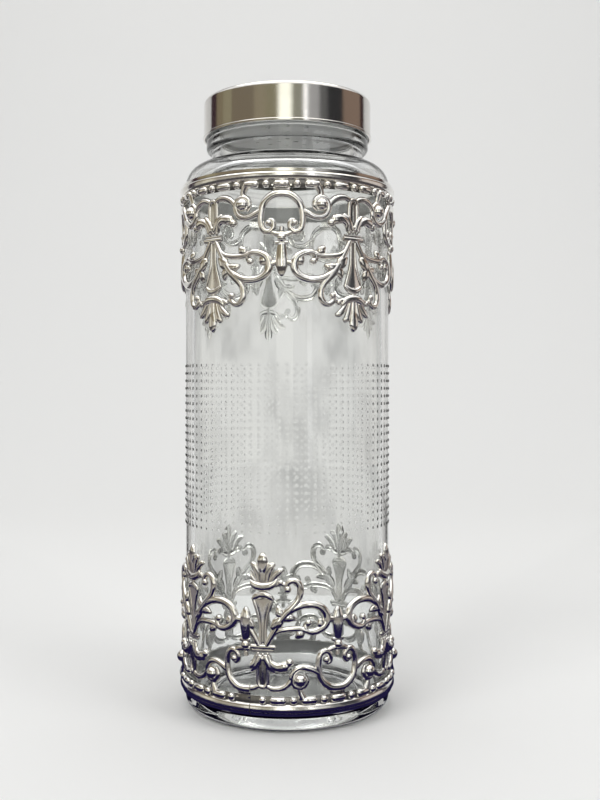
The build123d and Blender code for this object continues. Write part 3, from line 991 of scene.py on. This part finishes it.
class SPRINKLER_OT_cap(Operator):
    """Make the brushed steel shell of the screw cap"""

    bl_idname = "sprinkler.cap"
    bl_label = "Steel Cap"

    def execute(self, context):
        sizes = context.scene.sprinkler_cap
        bottom = CAP_LOW.z
        top = CAP_HIGH.z
        rim_top = bottom + sizes.rim_height
        rim_radius = CAP_HIGH.x
        inside = sizes.radius - sizes.sheet
        bm = half_section([
            (inside, bottom, 0),
            (sizes.radius, bottom, 0),
            (rim_radius, bottom + CAP_RIM_LIFT, CAP_RIM_EDGE),
            (rim_radius, rim_top - CAP_RIM_EDGE, CAP_RIM_EDGE),
            (sizes.radius, rim_top, CAP_RIM_LIFT),
            (sizes.radius, top, CAP_TOP_EDGE),
            (0.0, top, 0),
            (0.0, top - sizes.sheet, 0),
            (inside, top - sizes.sheet, CAP_TOP_EDGE - sizes.sheet),
        ])
        turn(bm, CAP_STEPS)
        finished_piece(
            "cap_steel_shell", bm, brushed_steel(context.scene.sprinkler_colours), "cap",
            ["cap_shell"])
        return {"FINISHED"}


class SPRINKLER_OT_closure(Operator):
    """Finish the sprinkler insert, the sealing ring and the cap's thread liner"""

    bl_idname = "sprinkler.closure"
    bl_label = "Insert, Seal and Liner"

    def execute(self, context):
        colours = context.scene.sprinkler_colours
        finishes = {
            "sprinkler_insert": moulded("insert_plastic", colours.plastic, 0.38, 0.0004, 0.25),
            "cap_thread_insert": moulded("liner_plastic", colours.plastic, 0.45, 0.0005, 0.15),
            "cap_seal_ring": moulded("seal_rubber", colours.rubber, 0.6, 0.0003, 0.1),
        }
        for node, material in finishes.items():
            refinish(node, material)
        return {"FINISHED"}


class SPRINKLER_OT_adhesive(Operator):
    """Finish the clear bonding strips behind both rails"""

    bl_idname = "sprinkler.adhesive"
    bl_label = "Bonding Strips"

    def execute(self, context):
        material, wiring = new_material("bonding_strip")
        vector, _ = wiring.place()
        cloud = wiring.noise(vector, 400.0, 3.0, 0.6)
        wiring.finish(
            Base_Color=wiring.mix(cloud, (0.62, 0.62, 0.6, 1.0), (0.5, 0.5, 0.48, 1.0)),
            Roughness=wiring.step(cloud, 0.2, 0.8, 0.25, 0.45),
            Normal=wiring.bump(cloud, 0.00004, 0.8))
        for node in ("lower_band_adhesive", "upper_band_adhesive"):
            refinish(node, material)
        return {"FINISHED"}


def refinish(node, material):
    """Gives a node of the frame a new material."""
    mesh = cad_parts[node].data
    mesh.materials.clear()
    mesh.materials.append(material)


# --- Studio ---

# Upright cards round the bottle that only the reflections see: the angle from behind the camera
# at which each starts and ends, positive to the camera's right, and the brightness of its lower
# and of its upper part
CARDS = [
    ("left_edge", -127, -112, (0.06, 0.05, 0.06), (0.05, 0.028, 0.035)),
    ("left_far", -112, -97, (0.42, 0.4, 0.34), (0.24, 0.2, 0.13)),
    ("left_olive", -97, -81, (0.66, 0.63, 0.53), (0.3, 0.27, 0.18)),
    ("left_taupe", -81, -45, (0.38, 0.35, 0.3), (0.21, 0.175, 0.125)),
    ("left_near", -45, -29, (0.85, 0.82, 0.73), (0.3, 0.26, 0.18)),
    ("left_inner", -29, -12, (0.42, 0.41, 0.35), (0.27, 0.245, 0.16)),
    ("window", -12, 6, (1.7, 1.68, 1.55), (1.5, 1.5, 1.32)),
    ("between", 6, 22, (0.4, 0.39, 0.36), (0.3, 0.295, 0.24)),
    ("strip_light", 22, 27, (2.0, 2.0, 2.0), (1.7, 1.7, 1.7)),
    ("right_inner", 27, 44, (0.7, 0.7, 0.7), (0.42, 0.42, 0.42)),
    ("right_grey", 44, 56, (0.22, 0.22, 0.22), (0.13, 0.13, 0.13)),
    ("right_dark", 56, 81, (0.06, 0.06, 0.065), (0.036, 0.036, 0.038)),
    ("right_brown", 81, 118, (0.6, 0.54, 0.5), (0.25, 0.18, 0.14)),
    ("right_edge", 118, 129, (0.06, 0.05, 0.05), (0.05, 0.03, 0.03)),
]
CARD_EDGES = (-0.1, 0.46, 0.95)
# Cards that lie on the floor: inner and outer radius, start, end and brightness
FLOOR_CARDS = [
    ("floor_foot", 0.03, 0.17, -180, 180, (0.014, 0.011, 0.05)),
    ("floor_left", 0.17, 0.35, -150, -60, (0.2, 0.18, 0.19)),
    ("floor_front", 0.17, 0.35, -60, 60, (0.36, 0.34, 0.3)),
    ("floor_right", 0.17, 0.35, 60, 150, (0.2, 0.18, 0.19)),
    ("floor_far", 0.35, 1.3, -150, 150, (0.07, 0.065, 0.07)),
]
# A mottled screen behind the bottle that leans back and that only refracted rays see: radius and
# height of its foot and of its head, start, end, and its darkest and lightest greys
SCREEN = ((0.2, 0.0003), (0.9, 0.6), 135, 225, (0.46, 0.455, 0.445), (0.71, 0.7, 0.68))
CEILING = (0.2, 1.3, 1.9, (2.6, 2.6, 2.5))
CARD_RING = 1.3
FLOOR_CARD_HEIGHT = 0.0002
# In front of the bottle the floor brightens up to the white of the background: distances from the
# axis between which it does, depths over which that sets in, and the light that it gains
FLOOR_FADE = (0.7, 2.0)
FLOOR_FADE_FRONT = (-1.0, -0.4)
FLOOR_FADE_LIGHT = (0.42, 0.42, 0.42, 1.0)
# The floor paper's front edge, fold and top edge as (depth, height), its half width and fold
FLOOR_PROFILE = ((-2.0, 0.0), (1.4, 0.0), (1.4, 2.6))
FLOOR_HALF_WIDTH = 2.5
FLOOR_FOLD = 0.8
# Soft lamps: name, place, size and power
LAMPS = (
    ("key_light", (-0.9, -1.1, 1.3), (0.9, 0.9), 9.0),
    ("fill_light", (1.2, -0.8, 0.9), (0.8, 1.0), 6.0),
    ("top_light", (0.0, 0.1, 1.7), (1.4, 1.4), 9.0),
)
LAMP_AIM = Vector((0.0, 0.0, 0.12))
CAMERA_SHIFT = (0.016, -0.02)
# The white background's share of light on matt surfaces
MATT_LIGHT = 0.5
CARD_STEPS = 8
MOTTLE = (15.0, 3.0, 0.6, (1.0, 0.5, 0.5))
MOTTLE_EDGE = (0.3, 0.56)


def add_card(name, foot, head, start, end, brightness, mottled_with=None):
    """A glowing card swept round the bottle for reflections or, if mottled, for refractions."""
    bm = bmesh.new()
    ends = [bm.verts.new((0.0, -radius, height)) for radius, height in (foot, head)]
    edge = bm.edges.new(ends)
    bm.transform(Matrix.Rotation(math.radians(start), 4, "Z"))
    spun(bm, [*ends, edge], math.radians(end - start), CARD_STEPS)
    mesh = mesh_of(bm, name)
    material, wiring = new_material(name)
    colour = opaque(brightness)
    if mottled_with:
        vector, _ = wiring.place()
        mottle = wiring.step(wiring.noise(vector, *MOTTLE), *MOTTLE_EDGE)
        colour = wiring.mix(mottle, opaque(mottled_with), colour)
    wiring.node("OutputMaterial", {0: wiring.node("Emission", {0: colour, 1: 1.0})})
    mesh.materials.append(material)
    card = add_object(name, mesh)
    seen_by = "transmission" if mottled_with else "glossy"
    for ray in ("camera", "diffuse", "glossy", "transmission", "volume_scatter", "shadow"):
        setattr(card, f"visible_{ray}", ray == seen_by)


def add_area_light(name, place, size, power):
    """A soft square lamp that faces the bottle and that reflections don't see."""
    data = bpy.data.lights.new(name, "AREA")
    data.shape = "RECTANGLE"
    data.size, data.size_y = size
    data.energy = power
    lamp = add_object(name, data)
    lamp.location = place
    towards = LAMP_AIM - Vector(place)
    lamp.rotation_euler = towards.to_track_quat("-Z", "Y").to_euler()
    lamp.visible_glossy = False


class SPRINKLER_OT_studio(Operator):
    """Set up the pale floor and backdrop, the lamps, the reflection cards and the camera"""

    bl_idname = "sprinkler.studio"
    bl_label = "Studio"

    def execute(self, context):
        scene = context.scene
        sizes = scene.sprinkler_studio
        bm = bmesh.new()
        left = [bm.verts.new((-FLOOR_HALF_WIDTH, *point)) for point in FLOOR_PROFILE]
        for first, second in zip(left, left[1:]):
            bm.edges.new((first, second))
        swept = bmesh.ops.extrude_edge_only(bm, edges=bm.edges[:])
        side = [item for item in swept["geom"] if isinstance(item, bmesh.types.BMVert)]
        bmesh.ops.translate(bm, verts=side, vec=(2 * FLOOR_HALF_WIDTH, 0.0, 0.0))
        fold = [edge for edge in bm.edges if len(edge.link_faces) == 2]
        rounded_off(bm, fold, FLOOR_FOLD, 24, affect="EDGES")
        mesh = mesh_of(bm, "floor")
        mesh.shade_smooth()
        material, wiring = new_material("floor_paper")
        vector, (across, depth, _) = wiring.place()
        tooth = wiring.noise(vector, 500.0, 2.0, 0.5)
        away = wiring.from_axis(across, depth)
        fade = wiring.step(away, *FLOOR_FADE) * wiring.step(
            depth, *FLOOR_FADE_FRONT, 1.0, 0.0)
        wiring.finish(
            Base_Color=opaque(scene.sprinkler_colours.floor), Roughness=0.9,
            Specular_IOR_Level=0.1, Normal=wiring.bump(tooth, 0.0001, 0.3),
            Emission_Color=wiring.mix(fade, (0.0, 0.0, 0.0, 1.0), FLOOR_FADE_LIGHT),
            Emission_Strength=1.0)
        mesh.materials.append(material)
        add_object("floor", mesh)
        low, middle, high = CARD_EDGES
        for name, start, end, lower, upper in CARDS:
            add_card(f"{name}_low", (CARD_RING, low), (CARD_RING, middle), start, end, lower)
            add_card(f"{name}_high", (CARD_RING, middle), (CARD_RING, high), start, end, upper)
        for name, inner, outer, start, end, brightness in FLOOR_CARDS:
            add_card(
                name, (inner, FLOOR_CARD_HEIGHT), (outer, FLOOR_CARD_HEIGHT), start, end,
                brightness)
        foot, head, start, end, dark, light = SCREEN
        add_card("screen", foot, head, start, end, light, dark)
        inner, outer, height, brightness = CEILING
        add_card("ceiling", (inner, height), (outer, height), -180, 180, brightness)
        for lamp in LAMPS:
            add_area_light(*lamp)
        world = bpy.data.worlds.new("studio")
        scene.world = world
        world.use_nodes = True
        wiring = Wiring(world.node_tree)
        outputs = wiring.node("LightPath").socket.node.outputs
        seen = Signal(wiring, outputs["Is Camera Ray"])
        seen = wiring.math("MAXIMUM", seen, Signal(wiring, outputs["Is Glossy Ray"]))
        seen = wiring.math("MAXIMUM", seen, Signal(wiring, outputs["Is Transmission Ray"]))
        strength = wiring.math("MULTIPLY_ADD", seen, 1 - MATT_LIGHT, MATT_LIGHT)
        light = wiring.node("Background", {0: (1.0, 1.0, 1.0, 1.0), 1: strength})
        wiring.node("OutputWorld", {0: light})
        data = bpy.data.cameras.new("camera")
        data.lens = sizes.lens
        data.sensor_width = 36.0
        data.shift_x, data.shift_y = CAMERA_SHIFT
        data.clip_start = 0.01
        camera = add_object("camera", data)
        camera.location = (0.0, -sizes.distance, sizes.eye_level)
        camera.rotation_euler = (math.pi / 2, 0.0, 0.0)
        scene.camera = camera
        scene.view_settings.view_transform = "Standard"
        return {"FINISHED"}


# --- Panel and registration ---


class SPRINKLER_PT_sidebar(Panel):
    """Lists the sizes, the colours and the operators"""

    bl_label = "Rosewater Sprinkler"
    bl_idname = "SPRINKLER_PT_sidebar"
    bl_space_type = "VIEW_3D"
    bl_region_type = "UI"
    bl_category = "Rosewater"

    def draw(self, context):
        layout = self.layout
        for name in SETTINGS:
            box = layout.box()
            group = getattr(context.scene, name)
            for key in group.__annotations__:
                box.prop(group, key)
        column = layout.column(align=True)
        for operator in OPERATORS:
            column.operator(operator.bl_idname)


SETTINGS = {
    "sprinkler_bottle": BottleSizes,
    "sprinkler_bands": BandSizes,
    "sprinkler_cap": CapSizes,
    "sprinkler_colours": FinishColours,
    "sprinkler_studio": StudioSizes,
}
OPERATORS = [
    SPRINKLER_OT_glass_bottle,
    SPRINKLER_OT_openwork,
    SPRINKLER_OT_rails,
    SPRINKLER_OT_cap,
    SPRINKLER_OT_closure,
    SPRINKLER_OT_adhesive,
    SPRINKLER_OT_studio,
]


def register():
    for cls in (*SETTINGS.values(), *OPERATORS, SPRINKLER_PT_sidebar):
        bpy.utils.register_class(cls)
    for name, group in SETTINGS.items():
        setattr(bpy.types.Scene, name, PointerProperty(type=group))


def unregister():
    for name in SETTINGS:
        delattr(bpy.types.Scene, name)
    for cls in (SPRINKLER_PT_sidebar, *reversed(OPERATORS), *reversed(SETTINGS.values())):
        bpy.utils.unregister_class(cls)


def main():
    """Registers the add-on and builds everything."""
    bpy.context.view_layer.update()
    register()
    for operator in OPERATORS:
        group, name = operator.bl_idname.split(".")
        getattr(getattr(bpy.ops, group), name)()


if __name__ == "__main__":
    main()
